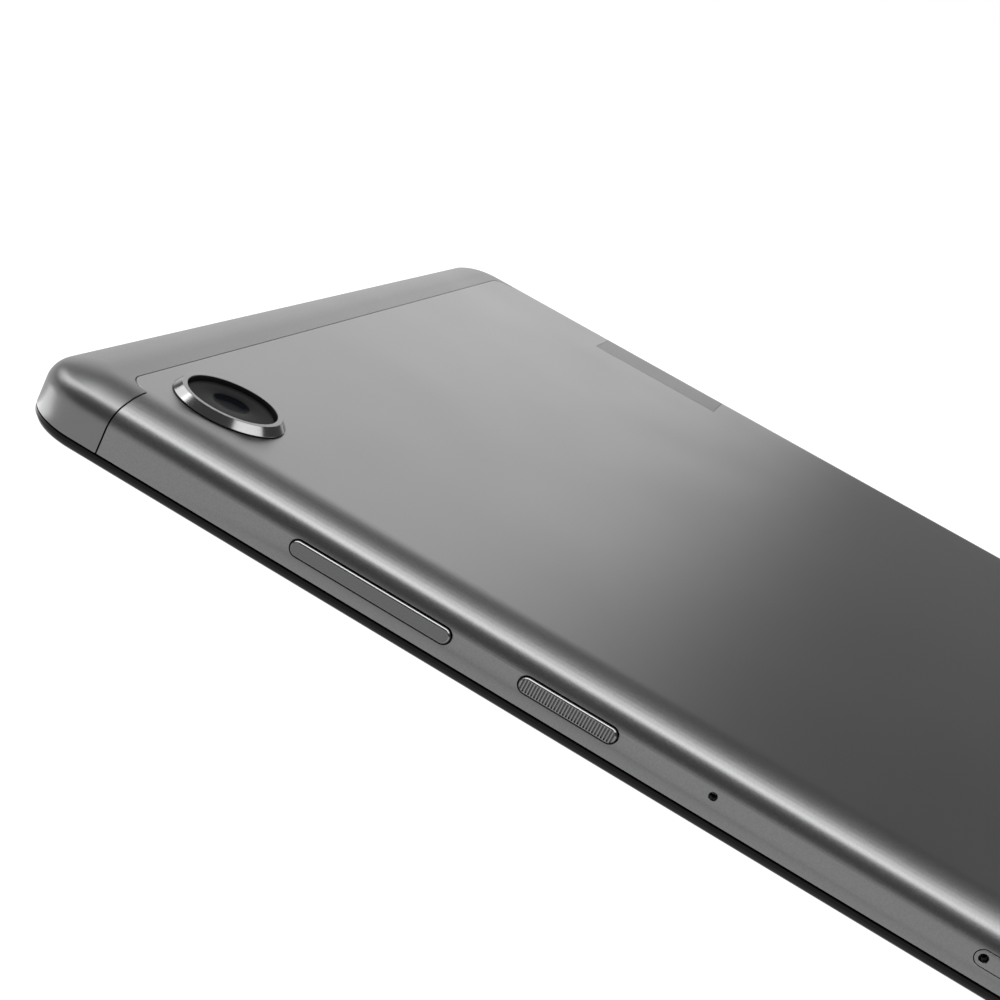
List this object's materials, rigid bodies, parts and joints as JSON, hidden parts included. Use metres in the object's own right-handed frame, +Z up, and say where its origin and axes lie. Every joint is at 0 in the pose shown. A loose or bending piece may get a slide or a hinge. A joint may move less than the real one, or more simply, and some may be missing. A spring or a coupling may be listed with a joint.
{
  "type": "tablet computer",
  "caption": "Slim tablet computer lying face down, with a ringed rear camera, a volume rocker, a ribbed power key, a card tray, a charging socket and an audio socket.",
  "frame": {"origin": "bottom centre of the body, on the screen glass", "axes": "+X along the long side towards the charging socket, +Y across from the key side to the dock side, +Z up out of the rear cover"},
  "size_m": [0.2442, 0.1537, 0.0091],
  "materials": {
    "cover_glass": "clear cover glass, black print round the screen",
    "film": "clear and white optical film",
    "display_glass": "black display glass",
    "adhesive": "black foam tape",
    "flex": "amber polyimide film",
    "black_plastic": "fine matt moulding",
    "plate_steel": "plain stamped steel",
    "cover_metal": "fine blasted and anodised grey",
    "cap_plastic": "satin grey paint to match the cover",
    "badge": "smooth satin grey, blank",
    "ring_metal": "turned and polished, brushed top",
    "window_glass": "dark glass",
    "face_plate": "gloss black",
    "seal_rubber": "black silicone",
    "housing_metal": "plain pressed can",
    "lens_glass": "coated lens glass",
    "chip": "black moulded package",
    "thin_steel": "tinned thin sheet",
    "gold": "gold plate",
    "board": "green solder mask",
    "graphite": "dark graphite sheet",
    "pouch": "foil pouch with a dark wrap",
    "tape": "white pull tape",
    "screw_steel": "plain steel"
  },
  "bodies": {
    "tablet": {"cover_glass": "cover_glass", "glass_adhesive": "adhesive", "touch_film": "film", "display_panel": "display_glass", "backlight": "film", "display_flex": "flex", "touch_flex": "flex", "front_frame": "black_plastic", "mid_plate": "plate_steel", "rear_cover": "cover_metal", "top_cap": "cap_plastic", "bottom_cap": "cap_plastic", "name_plate": "badge", "camera_ring": "ring_metal", "camera_window": "window_glass", "camera_face": "face_plate", "camera_gasket": "seal_rubber", "camera_housing": "housing_metal", "camera_sensor": "chip", "camera_flex": "flex", "front_camera": "black_plastic", "light_sensor": "black_plastic", "key_bracket": "plate_steel", "key_flex": "flex", "volume_domes": "thin_steel", "power_dome": "thin_steel", "microphone": "thin_steel", "microphone_boot": "seal_rubber", "card_reader": "plate_steel", "reader_contacts": "gold", "main_board": "board", "shield_cans": "thin_steel", "main_chips": "chip", "heat_spreader": "graphite", "sub_board": "board", "usb_shell": "plate_steel", "usb_tongue": "black_plastic", "audio_jack": "black_plastic", "main_flex": "flex", "battery_cells": "pouch", "battery_board": "board", "battery_lead": "flex", "battery_tape": "tape", "top_speaker": "black_plastic", "bottom_speaker": "black_plastic", "speaker_meshes": "thin_steel", "top_antenna": "flex", "bottom_antenna": "flex", "dock_housing": "black_plastic", "dock_contacts": "gold", "dock_flex": "flex", "board_screws": "screw_steel"},
    "volume_rocker": {"volume_key": "cover_metal"},
    "power_button": {"power_key": "cover_metal"},
    "tray": {"card_tray": "cover_metal"},
    "ejector": {"eject_rod": "plate_steel"},
    "lever": {"eject_lever": "plate_steel"},
    "focus": {"focus_barrel": "black_plastic", "focus_lens": "lens_glass"}
  },
  "joints": [
    {"name": "volume_rock", "type": "hinge", "parent": "tablet", "child": "volume_rocker", "pos_m": [-0.0781, -0.07485, 0.00397], "axis": [0, 0, 1], "range_deg": [-1.4, 1.4], "stiffness_Nm_per_rad": 0.4, "deforming": ["volume_domes"]},
    {"name": "power_press", "type": "slide", "parent": "tablet", "child": "power_button", "axis": [0, 1, 0], "range_m": [0, 0.0002], "stiffness_N_per_m": 6000, "springref_m": -0.0001, "deforming": ["power_dome"]},
    {"name": "tray_slide", "type": "slide", "parent": "tablet", "child": "tray", "axis": [0, -1, 0], "range_m": [0, 0.019]},
    {"name": "eject_push", "type": "slide", "parent": "tablet", "child": "ejector", "axis": [0, 1, 0], "range_m": [0, 0.0015], "stiffness_N_per_m": 100, "springref_m": -0.0005},
    {"name": "eject_turn", "type": "hinge", "parent": "tablet", "child": "lever", "pos_m": [-0.0021, -0.05725, 0.00397], "axis": [0, 0, 1], "range_deg": [-13, 0]},
    {"name": "focus_drive", "type": "slide", "parent": "tablet", "child": "focus", "axis": [0, 0, 1], "range_m": [0, 0.00025], "stiffness_N_per_m": 60, "springref_m": -0.0001}
  ],
  "couplings": [
    {"joint": "eject_turn", "follows": "eject_push", "rad_per_m": -149.25}
  ]
}
